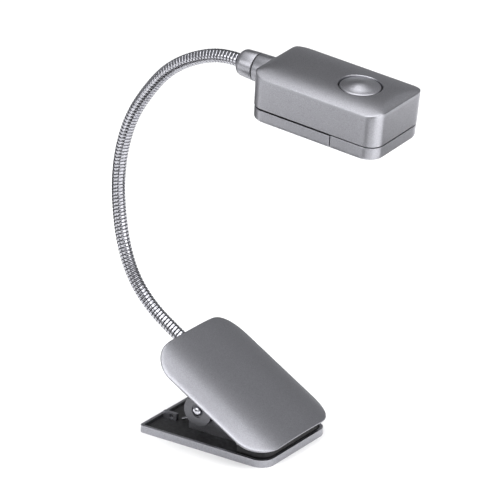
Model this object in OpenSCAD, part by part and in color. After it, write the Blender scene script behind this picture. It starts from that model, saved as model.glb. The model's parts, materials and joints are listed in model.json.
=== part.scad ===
// Clip-on reading lamp: a spring clip, a bendable neck and a battery lamp head.
// Millimetres. +Z up, +X towards the clip's mouth, +Y across the clip.
// The origin is the centre of the clip's flat underside.

/* [Clip base] */
// Length of the lower jaw
base_l = 61; // [50:1:80]
// Width of the lower jaw
base_w = 46.5; // [40:0.5:60]
// Height of the tray's side walls
base_h = 3.1; // [2.6:0.1:4]
// Thickness of the tray's floor
base_floor = 1.2; // [0.8:0.1:1.6]
// Thickness of the tray's side walls
base_wall = 1.3; // [1:0.1:2]
// Corner radius at the mouth end
base_front_r = 6; // [3:0.5:9]

/* [Hinge] */
// Distance of the hinge pin behind the clip's centre
pin_back = 8.8; // [6:0.2:12]
// Height of the hinge pin above the underside
pin_z = 11.6; // [10.5:0.1:13]
// Diameter of the hinge pin
pin_d = 4; // [3:0.5:5]
// Wire diameter of the torsion spring
spring_wire = 1.3; // [1:0.1:1.6]

/* [Upper lever] */
// Length of the upper lever's cover
lever_l = 63; // [58:1:70]
// Width of the upper lever's cover
lever_w = 56; // [50:1:64]
// Slope of the upper lever when the clip is shut
lever_tilt = 30; // [26:1:34]
// Height of the cover's crown across its width
lever_crown = 4; // [2:0.5:6]
// Corner radius of the cover
lever_r = 12.5; // [8:0.5:16]
// Thickness of the cover
cover_t = 1.3; // [1:0.1:1.8]

/* [Neck] */
// Outer diameter of the gooseneck
neck_d = 5.5; // [5:0.1:6]
// Distance between neighbouring bending points
neck_pitch = 14.3; // [13:0.1:16]
// Angle that the neck turns at each bending point, from clip to head
neck_turns = [3, 16, 20, 11, 7, 10, 11, 14, 8, 18, 14.4, 23.2];

/* [Lamp head] */
// Length of the head
head_l = 58.6; // [56:0.2:64]
// Width of the head
head_w = 35.4; // [35:0.2:42]
// Height of the head's long side walls, above which the top is crowned
head_h = 18.9; // [18:0.1:21]
// Height of the top's crown across its width
head_crown = 2.3; // [1.5:0.1:3]
// Height of the top's edge at the head's front and back
head_end_h = 19.9; // [19:0.1:21]
// Corner radius of the head
head_r = 6.4; // [3:0.1:7]
// Height of the seam between the upper and lower shells
seam_z = 5.9; // [5.4:0.1:6.4]
// Length of the battery door
door_l = 37.8; // [37.4:0.1:38.6]
// Diameter of the power button's cap
button_d = 16.6; // [14:0.1:18]
// Distance of the power button from the head's back
button_x = 39.4; // [38:0.1:40]
// Angle at which the head is turned on its swivel, with its left side down
head_roll = 4.2; // [0:0.1:10]

/* [Hidden] */

$fn = 64;
eps = 0.01;
// Slip clearance between parts that are assembled but don't move
slip = 0.15;
// Radial clearance of a turning fit
running = 0.06;

// Clip base: the ears carry the pin, and the bracket holds the spring's lower leg
base_back_r = 1.6;
ear_t = 2.4;
base_ear_y = 8.6;
base_ear_back = -14.6;
base_ear_front = 10;
base_ear_boss_r = 5;
bracket_x = [-28.6, -22.2];
bracket_y = -9;
bracket_t = 1.6;
bracket_h = 3.6;
pad_gap = 0.3;
lower_pad_top = 3.1;
lower_mat_t = 0.7;
pad_back = 14.4;

// Upper lever, in its own frame: +x to the mouth edge, z up from the side edges' plane
lever_x = 30.65;
lever_z = 4.9;
lever_power = 3;
cover_bottom = -0.3;
frame_inset = 2.4;
frame_w = 47.4;
frame_bottom = -0.6;
lever_ear_y = base_ear_y + ear_t + 0.4;
lever_ear_r = 6.5;
upper_pad_bottom = lower_pad_top + pad_gap;
upper_pad_top = 6.4;
upper_pad_w = 42;
upper_pad_front = 29.2;
upper_pad_r = 5.5;
pin_head_t = 0.6;
cover_post_r = 2.4;
cover_posts = [[-33, 0], [-50, 18.5], [-50, -18.5]];
wedge_w = 43;
wedge_front = 29.4;
rib_t = 1.6;

// Neck socket under the lever's back end, and the first bending point behind it
neck_r = neck_d / 2;
neck_axis_z = -3.1;
neck_mouth_x = -57;
neck_socket_x = -42;
neck_first_x = -67.9;
socket_r = 4.7;
cap_r = 3.3;
cup_r = 3.42;
clamp_x = -49;
neck_bore_r = 1.3;

// Swivel, with its axis parallel to the head's length
ferrule_l = 8;
ferrule_r = 5.4;
collar_l = 7;
collar_z = 13.3;
collar_r = 6;
collar_seam_r = 5.75;
washer_t = 0.5;
spigot_r = 3;
clip_groove_r = 2.3;
clip_t = 0.8;
tip_to_mouth = 8.6;
tip_depth = 5.4;

// Head internals
wall = 1.5;
// Powers of the crown's curve across the head and along it, and its rise from the ends
crown_power = 3;
end_power = 8;
end_crown = 1.6;
shell_gap = 0.25;
board_z = 11.8;
board_t = 1.2;
board_x = [27.5, 54.5];
board_w = 30;
board_screw_x = board_x[0] + 2.4;
board_screw_y = board_w / 2 - 2.6;
cell_r = 10;
cell_h = 3.2;
cell_x = 15.4;
cell_z = 2.1;
emitter_x = 48;
window_x = [41.6, 54.4];
window_w = 18;
screw_x = 42.6;
screw_y = 12.9;
button_flange_r = 9.4;
button_flange_z = 17.8;
button_travel = 0.8;
switch_w = 6;
switch_top = 16.4;

silver = [0.62, 0.62, 0.63];
dark_silver = [0.42, 0.42, 0.43];
black = [0.12, 0.12, 0.13];
steel = [0.8, 0.8, 0.8];

// ---- Shared shapes ----

// A block with rounded upright edges, centred across Y
module rounded_block(x0, x1, w, h, r_front, r_back) {
    translate([x0 + r_back, -w / 2, 0]) cube([x1 - x0 - r_back - r_front, w, h]);
    translate([x1 - r_front - eps, -w / 2 + r_front, 0]) cube([r_front + eps, w - 2 * r_front, h]);
    translate([x0, -w / 2 + r_back, 0]) cube([r_back + eps, w - 2 * r_back, h]);
    for (side = [-1, 1]) {
        translate([x1 - r_front, side * (w / 2 - r_front), 0]) cylinder(h = h, r = r_front);
        translate([x0 + r_back, side * (w / 2 - r_back), 0]) cylinder(h = h, r = r_back);
    }
}

function crown_at(y, half, rise, power) = rise * (1 - pow(abs(y) / half, power));

// A bar along X whose top is crowned across Y and whose bottom is flat
module crowned_bar(x0, x1, half, edge_half, bottom, top, rise, power, steps = 26) {
    ys = [for (i = [0 : steps]) -half + 2 * half * i / steps];
    arch = [for (y = ys) [y, top + crown_at(y, edge_half, rise, power)]];
    translate([x0, 0, 0]) rotate([90, 0, 90]) linear_extrude(height = x1 - x0)
        polygon(concat([[half, bottom], [-half, bottom]], arch));
}

// A rod along +X from x0, which tapers to r2 where that is given
module rod_x(x0, l, r, r2 = -1) {
    translate([x0, 0, 0]) rotate([0, 90, 0]) cylinder(h = l, r1 = r, r2 = r2 < 0 ? r : r2);
}

module rod_y(y0, l, r) {
    translate([0, y0, 0]) rotate([-90, 0, 0]) cylinder(h = l, r = r);
}

// Copies its child onto both sides of the clip
module both_sides() {
    children();
    mirror([0, 1, 0]) children();
}

// ---- Frames of the moving assemblies at rest ----

module at_pin() {
    translate([-pin_back, 0, pin_z]) children();
}

module on_lever() {
    translate([lever_x, 0, lever_z]) rotate([0, lever_tilt, 0]) children();
}

function lever_point(x, z) = [
    lever_x + x * cos(lever_tilt) + z * sin(lever_tilt),
    lever_z - x * sin(lever_tilt) + z * cos(lever_tilt)
];
function turned(i) = neck_turns[i] + (i > 0 ? turned(i - 1) : 0);
function heading(i) = 180 - lever_tilt - turned(i);
function along(angle) = [cos(angle), sin(angle)];
function bend_point(i) = i == 0
    ? lever_point(neck_first_x, neck_axis_z)
    : bend_point(i - 1) + neck_pitch * along(heading(i - 1));

last_bend = len(neck_turns) - 1;
head_pitch = -heading(last_bend);
ferrule_mouth = bend_point(last_bend) + tip_to_mouth * along(-head_pitch);
ferrule_back = ferrule_l + collar_l + washer_t;
swivel = ferrule_mouth + ferrule_back * along(-head_pitch);

// +x along the swivel's axis, from the head's back wall
module on_swivel() {
    translate([swivel[0], 0, swivel[1]]) rotate([0, head_pitch, 0]) children();
}

// The head's own frame, from the middle of its underside's back edge
module on_head() {
    on_swivel() rotate([head_roll, 0, 0]) translate([0, 0, -collar_z]) children();
}

// ---- Clip base ----

module base_ear() {
    outline = [
        [base_ear_back, base_floor / 2], [base_ear_front, base_floor / 2], [base_ear_front, 4.4],
        [-pin_back + base_ear_boss_r * 0.7, pin_z + base_ear_boss_r * 0.7],
        [base_ear_back, pin_z - 2]
    ];
    translate([0, base_ear_y + ear_t, 0]) rotate([90, 0, 0]) linear_extrude(height = ear_t)
        polygon(outline);
    at_pin() rod_y(base_ear_y, ear_t, base_ear_boss_r);
}

module base_tray() {
    inner_w = base_w - 2 * base_wall;
    color(silver) difference() {
        union() {
            difference() {
                rounded_block(-base_l / 2, base_l / 2, base_w, base_h, base_front_r, base_back_r);
                translate([0, 0, base_floor])
                    rounded_block(-base_l / 2 + base_wall, base_l / 2 - base_wall, inner_w, base_h,
                        base_front_r - base_wall, 0.6);
            }
            both_sides() base_ear();
            translate([bracket_x[0], bracket_y, base_floor - eps])
                cube([bracket_x[1] - bracket_x[0], bracket_t, bracket_h]);
        }
        at_pin() rod_y(-base_ear_y - ear_t - 1, 2 * (base_ear_y + ear_t + 1), pin_d / 2 + 0.02);
        translate([bracket_x[1] - 2.4, 0, base_floor + 2]) rod_y(bracket_y - 1, bracket_t + 2, 1);
    }
}

// Rubber mat that lines the tray, with the thicker grip block at the mouth
module lower_grip_pad() {
    x0 = -base_l / 2 + base_wall + slip;
    x1 = base_l / 2 - base_wall - slip;
    w = base_w - 2 * (base_wall + slip);
    color(black) difference() {
        union() {
            translate([0, 0, base_floor])
                rounded_block(x0, x1, w, lower_mat_t, base_front_r - base_wall - slip, 0.6);
            translate([0, 0, base_floor])
                rounded_block(pad_back, x1, w, lower_pad_top - base_floor,
                    base_front_r - base_wall - slip, 0.6);
        }
        for (side = [-1, 1])
            translate([base_ear_back - slip, side * (base_ear_y + ear_t / 2) - ear_t / 2 - slip, 0])
                cube([base_ear_front - base_ear_back + 2 * slip, ear_t + 2 * slip, base_h + 1]);
        translate([bracket_x[0] - slip, bracket_y - slip, 0])
            cube([bracket_x[1] - bracket_x[0] + 2 * slip, bracket_t + 2 * slip, base_h]);
    }
}

module hinge_pin() {
    reach = lever_ear_y + ear_t;
    color(steel) at_pin() {
        rod_y(-reach - 0.2, 2 * (reach + 0.2), pin_d / 2);
        both_sides() translate([0, reach + 0.2, 0]) rotate([-90, 0, 0])
            cylinder(h = 0.5, r1 = pin_d / 2, r2 = pin_d / 2 - 0.6);
    }
}

// Torsion spring: a wire swept along the lower leg, the coil round the pin and the upper leg
coil_r = 3.9;
coil_half = 5;
coil_start = 292;
coil_stop = 24 + 7 * 360;
coil_rings = 100;
wire_sides = 8;
lower_foot = [-20.4, -7, 2.75];
upper_foot_xz = lever_point(-48, frame_bottom - 0.9);
upper_foot = [upper_foot_xz[0], 5.6, upper_foot_xz[1]];
coil_path = [
    for (i = [0 : coil_rings])
        let (a = coil_start + (coil_stop - coil_start) * i / coil_rings)
            [-pin_back + coil_r * cos(a), coil_half * (2 * i / coil_rings - 1), pin_z + coil_r * sin(a)]
];
function between(a, b, t) = a + t * (b - a);
spring_path = concat(
    [for (t = [0, 0.35, 0.7]) between(lower_foot, coil_path[0], t)],
    coil_path,
    [for (t = [0.3, 0.65, 1]) between(coil_path[coil_rings], upper_foot, t)]
);

function unit(v) = v / norm(v);
function tangent(path, i) = unit(path[min(i + 1, len(path) - 1)] - path[max(i - 1, 0)]);
// A ring's side direction stays near +Y, so that neighbouring rings line up
function ring(path, i, r) = let (
    t = tangent(path, i),
    side = unit(cross(t, abs(t[1]) > 0.9 ? [1, 0, 0] : [0, 1, 0])),
    other = cross(t, side)
) [for (k = [0 : wire_sides - 1])
    path[i] + r * (cos(360 * k / wire_sides) * side + sin(360 * k / wire_sides) * other)];

module swept_wire(path, r) {
    n = len(path);
    points = [for (i = [0 : n - 1]) each ring(path, i, r)];
    sides = [for (i = [0 : n - 2]) for (k = [0 : wire_sides - 1])
        let (k2 = (k + 1) % wire_sides, a = i * wire_sides, b = a + wire_sides)
            [a + k, b + k, b + k2, a + k2]];
    start = [for (k = [0 : wire_sides - 1]) k];
    end = [for (k = [wire_sides - 1 : -1 : 0]) (n - 1) * wire_sides + k];
    polyhedron(points = points, faces = concat([start], sides, [end]), convexity = 8);
}

module torsion_spring() {
    color(steel) swept_wire(spring_path, spring_wire / 2);
}

// ---- Upper lever ----

// The cover's outline in plan, shrunk by an inset, as a tall block
module lever_plan(inset) {
    translate([0, 0, -20])
        rounded_block(-lever_l + inset, -inset, lever_w - 2 * inset, 40,
            lever_r - inset, lever_r - inset);
}

module lever_cover() {
    half = lever_w / 2;
    color(silver) on_lever() difference() {
        union() {
            intersection() {
                lever_plan(0);
                difference() {
                    crowned_bar(-lever_l, 0, half, half, cover_bottom - 1, 0, lever_crown, lever_power);
                    translate([0, 0, -cover_t])
                        crowned_bar(-lever_l - 1, 1, half + 1, half, -9, 0, lever_crown, lever_power);
                }
            }
            for (p = cover_posts) translate([p[0], p[1], frame_bottom + 1.4])
                cylinder(h = crown_at(p[1], half, lever_crown, lever_power) - 1.1, r = cover_post_r);
        }
        for (p = cover_posts) translate([p[0], p[1], frame_bottom - 1]) cylinder(h = 3.6, r = 0.8);
    }
}

module lever_ear() {
    foot = lever_point(-17, 0.2);
    heel = lever_point(-52.6, 0.2);
    outline = [
        [-pin_back - lever_ear_r, pin_z], [-pin_back + lever_ear_r, pin_z],
        [foot[0], foot[1]], [-pin_back - lever_ear_r + 7.4, heel[1]]
    ];
    translate([0, lever_ear_y + ear_t, 0]) rotate([90, 0, 0]) linear_extrude(height = ear_t)
        polygon(outline);
    at_pin() rod_y(lever_ear_y, ear_t, lever_ear_r);
}

// Fills the space between the sloping lever and the level grip pad
module jaw_wedge() {
    intersection() {
        translate([0, 0, upper_pad_top - 1])
            rounded_block(pad_back + 0.6, wedge_front, wedge_w, 16, upper_pad_r, 0.6);
        on_lever() translate([-100, -50, -60]) cube([100, 100, 60]);
    }
}

module lever_frame() {
    half = frame_w / 2;
    color(dark_silver) difference() {
        union() {
            on_lever() intersection() {
                lever_plan(frame_inset);
                crowned_bar(-lever_l, 0, half, lever_w / 2, frame_bottom, -cover_t - slip, lever_crown,
                    lever_power);
            }
            intersection() {
                both_sides() lever_ear();
                on_lever() translate([-100, -50, -60]) cube([200, 100, 60.4]);
            }
            on_lever() translate([0, 0, neck_axis_z])
                rod_x(neck_mouth_x, neck_socket_x - neck_mouth_x + 2, socket_r);
            jaw_wedge();
        }
        // Flat seat of the upper grip pad
        translate([pad_back, -50, -10]) cube([40, 100, 10 + upper_pad_top]);
        // Pockets between the wedge's ribs, open at the top, under the cover
        intersection() {
            for (y = [rib_t / 2, -wedge_w / 2 + rib_t]) translate([pad_back + 2.6, y, upper_pad_top + 1.6])
                cube([wedge_front - pad_back - 5.8, wedge_w / 2 - 1.5 * rib_t, 20]);
            on_lever() translate([-40, -50, -20]) cube([36, 100, 30]);
        }
        at_pin() rod_y(-30, 60, pin_d / 2 + running);
        both_sides() at_pin() rod_y(lever_ear_y + ear_t - pin_head_t, 3, pin_d / 2 + 0.8);
        on_lever() {
            translate([0, 0, neck_axis_z]) {
                rod_x(neck_mouth_x - 1, neck_socket_x - neck_mouth_x + 1, neck_r + 0.05);
                rod_x(-lever_l - 1, neck_mouth_x + lever_l + 1.2, neck_r + 0.9);
            }
            for (p = cover_posts) translate([p[0], p[1], frame_bottom + 1.2])
                cylinder(h = 9, r = cover_post_r + slip);
            for (p = cover_posts) translate([p[0], p[1], -20]) cylinder(h = 40, r = 1.2);
            translate([clamp_x, 0, -12]) cylinder(h = 8, r = 1.5);
        }
    }
}

module upper_grip_pad() {
    color(black) translate([0, 0, upper_pad_bottom])
        rounded_block(pad_back + 0.6, upper_pad_front, upper_pad_w, upper_pad_top - upper_pad_bottom,
            upper_pad_r, 0.6);
}

// Screws that hold the cover to the frame, driven from below
module cover_screws() {
    color(steel) on_lever() for (p = cover_posts) translate([p[0], p[1], frame_bottom]) {
        translate([0, 0, -0.9]) cylinder(h = 0.88, r = 1.9);
        translate([0, 0, -0.03]) cylinder(h = 2.5, r = 0.78);
    }
}

module neck_clamp_screw() {
    color(black) on_lever() translate([clamp_x, 0, neck_axis_z - socket_r + 0.2])
        cylinder(h = socket_r - neck_r - 0.25, r = 1.46);
}

// ---- Neck ----

module at_bend(i) {
    p = bend_point(i);
    translate([p[0], 0, p[1]]) rotate([0, -heading(i), 0]) children();
}

// The domed end of a link, round the bending point that it leads to
module link_cap() {
    rotate([0, 90, 0]) rotate_extrude() intersection() {
        circle(r = cap_r);
        square([neck_r, cap_r]);
    }
}

module neck_root() {
    l = neck_socket_x - neck_first_x - 0.6;
    color(steel) on_lever() translate([neck_first_x, 0, neck_axis_z]) difference() {
        union() {
            rod_x(0, l, neck_r);
            rotate([0, 180, 0]) link_cap();
        }
        rod_x(-cap_r - 1, l + cap_r + 2, neck_bore_r);
    }
}

module neck_link(i) {
    color(steel) at_bend(i - 1) difference() {
        union() {
            rod_x(0, neck_pitch, neck_r);
            translate([neck_pitch, 0, 0]) link_cap();
        }
        sphere(r = cup_r);
        rod_x(0, neck_pitch + cap_r + 1, neck_bore_r);
    }
}

module neck_tip() {
    color(steel) at_bend(last_bend) difference() {
        rod_x(0, tip_to_mouth + tip_depth, neck_r);
        sphere(r = cup_r);
        rod_x(0, tip_to_mouth + tip_depth + 1, neck_bore_r);
    }
}

// ---- Swivel ----

module swivel_ferrule() {
    x0 = -ferrule_back;
    shoulder = 2.6;
    color(silver) on_swivel() difference() {
        union() {
            rod_x(x0 + shoulder, ferrule_l - shoulder, ferrule_r, collar_seam_r);
            // Rounded shoulder, turned from a quarter circle
            translate([x0 + shoulder, 0, 0]) rotate([0, -90, 0]) rotate_extrude() intersection() {
                union() {
                    translate([ferrule_r - shoulder, 0]) circle(r = shoulder);
                    square([ferrule_r - shoulder, shoulder]);
                }
                square([6, shoulder]);
            }
            rod_x(x0 + ferrule_l - eps, collar_l + washer_t + wall + 2.1, spigot_r);
        }
        rod_x(x0 - 1, tip_depth + 1.2, neck_r + 0.05);
        // Groove for the retaining clip, inside the head
        translate([wall + 0.1, 0, 0]) rotate([0, 90, 0]) difference() {
            cylinder(h = clip_t + 0.2, r = spigot_r + 1);
            translate([0, 0, -1]) cylinder(h = clip_t + 3, r = clip_groove_r);
        }
    }
}

module swivel_washer() {
    color(black) on_swivel() difference() {
        rod_x(-collar_l - washer_t + 0.02, washer_t - 0.06, collar_seam_r - 0.35);
        rod_x(-collar_l - 2, 4, spigot_r + 0.1);
    }
}

// Retaining clip that keeps the ferrule in the head
module swivel_clip() {
    color(steel) on_swivel() difference() {
        rod_x(wall + 0.2, clip_t, 4.4);
        rod_x(wall, clip_t + 3, clip_groove_r + 0.02);
        translate([wall, -1.9, -6]) cube([3, 3.8, 6]);
    }
}

// ---- Lamp head ----

module head_plan(x0, x1, inset, z0, z1, r_front, r_back) {
    translate([0, 0, z0])
        rounded_block(x0 + inset, x1 - inset, head_w - 2 * inset, z1 - z0, r_front, r_back);
}

// The upper shell as a solid block, crowned both ways, or its inside at a wall's depth
module head_block(depth, z0) {
    half = head_w / 2;
    intersection() {
        head_plan(0, head_l, depth, z0, 30, head_r - depth, head_r - depth);
        crowned_bar(0, head_l, half, half, 0, head_h - depth, head_crown, crown_power);
        translate([head_l / 2, 0, 0]) rotate([0, 0, 90])
            crowned_bar(-half, half, head_l / 2, head_l / 2, 0, head_end_h - depth, end_crown,
                end_power);
    }
}

module head_shell() {
    color(silver) on_head() difference() {
        union() {
            difference() {
                head_block(0, seam_z);
                head_block(wall, seam_z - 1);
            }
            translate([0, 0, collar_z]) rod_x(-collar_l, collar_l + 0.5, collar_seam_r, collar_r);
            // Posts for the lower shell's screws, and for the circuit board
            for (side = [-1, 1]) {
                translate([screw_x, side * screw_y, seam_z + 0.2]) cylinder(h = 13.4, r = 2.2);
                for (x = [board_screw_x, board_x[1] - 2.5])
                    translate([x, side * board_screw_y, board_z + board_t]) cylinder(h = 6.6, r = 1.8);
            }
        }
        translate([0, 0, collar_z]) rod_x(-collar_l - 1, collar_l + wall + 2, spigot_r + running);
        translate([button_x, 0, 14]) cylinder(h = 20, r = button_d / 2 + 0.3);
        for (side = [-1, 1]) {
            translate([screw_x, side * screw_y, seam_z - 1]) cylinder(h = 8, r = 0.8);
            translate([board_screw_x, side * board_screw_y, board_z]) cylinder(h = 5, r = 0.7);
        }
    }
}

// One lower shell: an open tray, closed at the head's end and open where the two meet
module lower_tray(x0, x1, r_front, r_back, cut_x0, cut_x1) {
    difference() {
        head_plan(x0, x1, 0, 0, seam_z - shell_gap, r_front, r_back);
        intersection() {
            head_plan(0, head_l, wall, wall, 30, head_r - wall, head_r - wall);
            translate([cut_x0, -head_w / 2, 0]) cube([cut_x1 - cut_x0, head_w, 40]);
        }
    }
}

module front_shell() {
    color(silver) on_head() difference() {
        union() {
            lower_tray(door_l + shell_gap, head_l, head_r, 0.4,
                door_l + shell_gap + 1.2, head_l - wall);
            for (side = [-1, 1])
                translate([screw_x, side * screw_y, wall - eps]) cylinder(h = seam_z - wall - 0.2, r = 2.4);
        }
        translate([window_x[0] - slip, -window_w / 2 - slip, -1])
            cube([window_x[1] - window_x[0] + 2 * slip, window_w + 2 * slip, 4]);
        for (side = [-1, 1]) translate([screw_x, side * screw_y, -1]) {
            cylinder(h = 30, r = 1.1);
            cylinder(h = 2.6, r = 2);
        }
    }
}

module battery_door() {
    color(silver) on_head() {
        lower_tray(0, door_l, 0.4, head_r, wall, door_l - 1.2);
        // Snap tongues that reach up inside the shell
        both_sides() translate([20, head_w / 2 - wall - slip - 1.2, 1]) cube([7, 1.2, 7.2]);
    }
}

module light_window() {
    color([0.9, 0.93, 0.95, 0.5]) on_head() {
        translate([window_x[0], -window_w / 2, 0.2])
            cube([window_x[1] - window_x[0], window_w, wall + 0.1]);
        translate([window_x[0] - 0.8, -window_w / 2 - 1, wall + 0.05])
            cube([window_x[1] - window_x[0] + 1.6, window_w + 2, 0.7]);
    }
}

module reflector() {
    color([0.85, 0.85, 0.85]) on_head() translate([emitter_x, 0, wall + 1]) difference() {
        cylinder(h = 7.4, r1 = 6.1, r2 = 3.6);
        translate([0, 0, -eps]) cylinder(h = 7.5, r1 = 5.4, r2 = 2.9);
    }
}

module light_emitter() {
    color([0.95, 0.95, 0.8]) on_head() translate([emitter_x, 0, 0]) {
        translate([0, 0, 6.6]) cylinder(h = 3.2, r = 2.4);
        translate([0, 0, 6.6]) sphere(r = 2.4);
        for (side = [-1, 1]) translate([side * 1.27, 0, 9.7]) cylinder(h = board_z - 9.7, r = 0.3);
    }
}

module circuit_board() {
    color([0.12, 0.35, 0.2]) on_head() difference() {
        translate([board_x[0], -board_w / 2, board_z])
            cube([board_x[1] - board_x[0], board_w, board_t - 0.05]);
        for (side = [-1, 1]) {
            translate([board_screw_x, side * board_screw_y, board_z - 1]) cylinder(h = 4, r = 0.95);
            translate([screw_x, side * screw_y, board_z - 1]) cylinder(h = 4, r = 2.5);
        }
    }
}

module board_screws() {
    color(steel) on_head() for (side = [-1, 1])
        translate([board_screw_x, side * board_screw_y, board_z]) {
            translate([0, 0, -0.8]) cylinder(h = 0.78, r = 1.6);
            translate([0, 0, -0.03]) cylinder(h = 4.4, r = 0.68);
        }
}

module tact_switch() {
    color(black) on_head() translate([button_x, 0, board_z + board_t]) difference() {
        translate([-switch_w / 2, -switch_w / 2, 0])
            cube([switch_w, switch_w, switch_top - board_z - board_t]);
        translate([0, 0, 1]) cylinder(h = 10, r = 1.8);
    }
}

// The plunger moves with the button, in the switch's bore
module switch_plunger() {
    color([0.75, 0.7, 0.55]) on_head() translate([button_x, 0, switch_top - 1.4])
        cylinder(h = 2.4, r = 1.74);
}

module power_button() {
    cap_top = head_h + head_crown - 0.4;
    dome = 1.2;
    dome_r = (pow(button_d / 2, 2) + dome * dome) / (2 * dome);
    color(silver) on_head() translate([button_x, 0, 0]) {
        translate([0, 0, switch_top + 1]) cylinder(h = 2.2, r = 2.4);
        difference() {
            union() {
                translate([0, 0, button_flange_z]) cylinder(h = 0.9, r = button_flange_r);
                translate([0, 0, button_flange_z])
                    cylinder(h = cap_top - button_flange_z, r = button_d / 2);
                intersection() {
                    translate([0, 0, cap_top + dome - dome_r]) sphere(r = dome_r);
                    translate([0, 0, cap_top - 0.1]) cylinder(h = dome + 1, r = button_d / 2);
                }
            }
            translate([0, 0, button_flange_z - 1]) cylinder(h = 2.4, r = button_d / 2 - 1.3);
        }
    }
}

module coin_cells() {
    color(steel) on_head() for (k = [0, 1])
        translate([cell_x, 0, cell_z + k * (cell_h + 0.05)]) {
            cylinder(h = cell_h - 0.3, r = cell_r);
            translate([0, 0, cell_h - 0.3 - eps]) cylinder(h = 0.3, r = cell_r - 1.2);
        }
}

// Frame round the cells, held under the top shell
module cell_holder() {
    holder_half = 12;
    color(black) on_head() difference() {
        union() {
            translate([cell_x - holder_half + 0.6, -holder_half, 4])
                cube([2 * holder_half - 1.2, 2 * holder_half, 6.2]);
            for (dx = [-1, 1]) for (dy = [-1, 1])
                translate([cell_x + dx * 9, dy * 9, 10.1]) cylinder(h = 9, r = 1.6);
        }
        translate([cell_x, 0, -1]) cylinder(h = 10.4, r = cell_r + 0.2);
        translate([cell_x - 3, -holder_half - 1, 3]) cube([6, 3, 5]);
        translate([cell_x + 6, -3, 3]) cube([8, 6, 7.3]);
    }
}

// Sprung leaf that presses on the cells from above
module contact_minus() {
    color([0.8, 0.72, 0.4]) on_head() {
        translate([cell_x - 6, -2, 9.05]) cube([12, 4, 0.3]);
        translate([cell_x - 1.5, -1.5, 8.66]) cube([3, 3, 0.4]);
    }
}

// Upright leaf at the side of the cells, up to the circuit board
module contact_plus() {
    color([0.8, 0.72, 0.4]) on_head() {
        translate([cell_x + cell_r + 0.25, -2.4, 3.2]) cube([0.3, 4.8, board_z - 3.25]);
        translate([cell_x + cell_r + 0.25, -2.4, board_z - 0.35]) cube([5, 4.8, 0.3]);
    }
}

module shell_screws() {
    color(steel) on_head() for (side = [-1, 1]) translate([screw_x, side * screw_y, 0]) {
        translate([0, 0, 0.5]) cylinder(h = 1.08, r = 1.9);
        translate([0, 0, 1.5]) cylinder(h = 9, r = 0.78);
    }
}

base_tray();
lower_grip_pad();
hinge_pin();
torsion_spring();
lever_cover();
lever_frame();
upper_grip_pad();
cover_screws();
neck_clamp_screw();
neck_root();
for (i = [1 : 11])
    neck_link(i);
neck_tip();
swivel_ferrule();
swivel_washer();
swivel_clip();
head_shell();
front_shell();
battery_door();
light_window();
reflector();
light_emitter();
circuit_board();
board_screws();
tact_switch();
switch_plunger();
power_button();
coin_cells();
cell_holder();
contact_minus();
contact_plus();
shell_screws();
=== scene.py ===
import json
import math

import bmesh
import bpy
from mathutils import Matrix, Vector


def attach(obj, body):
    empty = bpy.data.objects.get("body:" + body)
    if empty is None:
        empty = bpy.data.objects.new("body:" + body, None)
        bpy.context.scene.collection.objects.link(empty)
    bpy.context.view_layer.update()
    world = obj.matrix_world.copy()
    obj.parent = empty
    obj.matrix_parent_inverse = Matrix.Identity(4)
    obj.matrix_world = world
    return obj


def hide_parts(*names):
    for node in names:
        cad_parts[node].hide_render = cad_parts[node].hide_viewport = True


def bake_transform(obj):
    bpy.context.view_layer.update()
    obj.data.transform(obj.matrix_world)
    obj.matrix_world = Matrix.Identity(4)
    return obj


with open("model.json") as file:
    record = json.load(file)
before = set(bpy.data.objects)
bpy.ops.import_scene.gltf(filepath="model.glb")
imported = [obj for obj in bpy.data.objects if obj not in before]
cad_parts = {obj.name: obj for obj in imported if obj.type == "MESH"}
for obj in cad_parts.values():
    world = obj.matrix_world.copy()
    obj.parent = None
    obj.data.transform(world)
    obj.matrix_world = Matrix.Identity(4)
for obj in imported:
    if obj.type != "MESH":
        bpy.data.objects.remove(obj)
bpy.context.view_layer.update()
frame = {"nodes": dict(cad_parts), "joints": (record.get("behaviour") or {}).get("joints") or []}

# Clip-on reading lamp. Shapes are written in millimetres in each assembly's own frame,
# as in the CAD source, and placed in the row frame, in metres.

MM = 0.001

# Clip
PIN = Vector((-8.8, 0, 11.6))
PIN_R = 2
PIN_REACH = 14.3
SPRING_HALF = 5
# The end of the spring's lower leg in the row frame, and of its upper leg in the lever's
LOWER_LEG_END = Vector((-20.4, -7, 2.75))
UPPER_LEG_END = Vector((-48, 5.6, -1.5))
LEVER_TILT = 30
LEVER_ORIGIN = Vector((30.65, 0, 4.9))
LEVER_L = 63
LEVER_W = 56
LEVER_R = 12.5
LEVER_CROWN = 4
LEVER_POWER = 3
COVER_T = 1.3
COVER_SCREWS = [(-33, 0), (-50, 18.5), (-50, -18.5)]
# Neck
NECK_R = 2.75
NECK_PITCH = 14.3
NECK_BENDS = 12
NECK_IN_SOCKET = 14
TIP_TO_MOUTH = 8.6
TIP_DEPTH = 4.5
NECK_BORE_R = 1.3
WINDING_PITCH = 1.5
RIDGE_CROWN = 0.02
GROOVE_DEPTH = 0.55
# Painted shade: the dark metal on the groove faces stands in for the shade inside the grooves. It
# starts this far off the ridge, on a scale from 0 to 1
GROOVE_START = 0.78
NECK_STEPS_PER_MM = 10
# Head
HEAD_L = 58.6
HEAD_W = 35.4
HEAD_H = 18.9
HEAD_CROWN = 2.3
HEAD_END_H = 19.9
HEAD_END_CROWN = 1.6
CROWN_POWER = 3
END_POWER = 8
HEAD_R = 6.4
SEAM_Z = 5.9
DOOR_L = 37.8
BUTTON_X = 39.4
BUTTON_R = 8.3
BUTTON_DOME = 1.6
BUTTON_GAP = 0.5
CAP_R = BUTTON_R - 0.15
BUTTON_FLANGE_R = 9.4
BUTTON_FLANGE_Z = 17.8
WALL = 1.5
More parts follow.
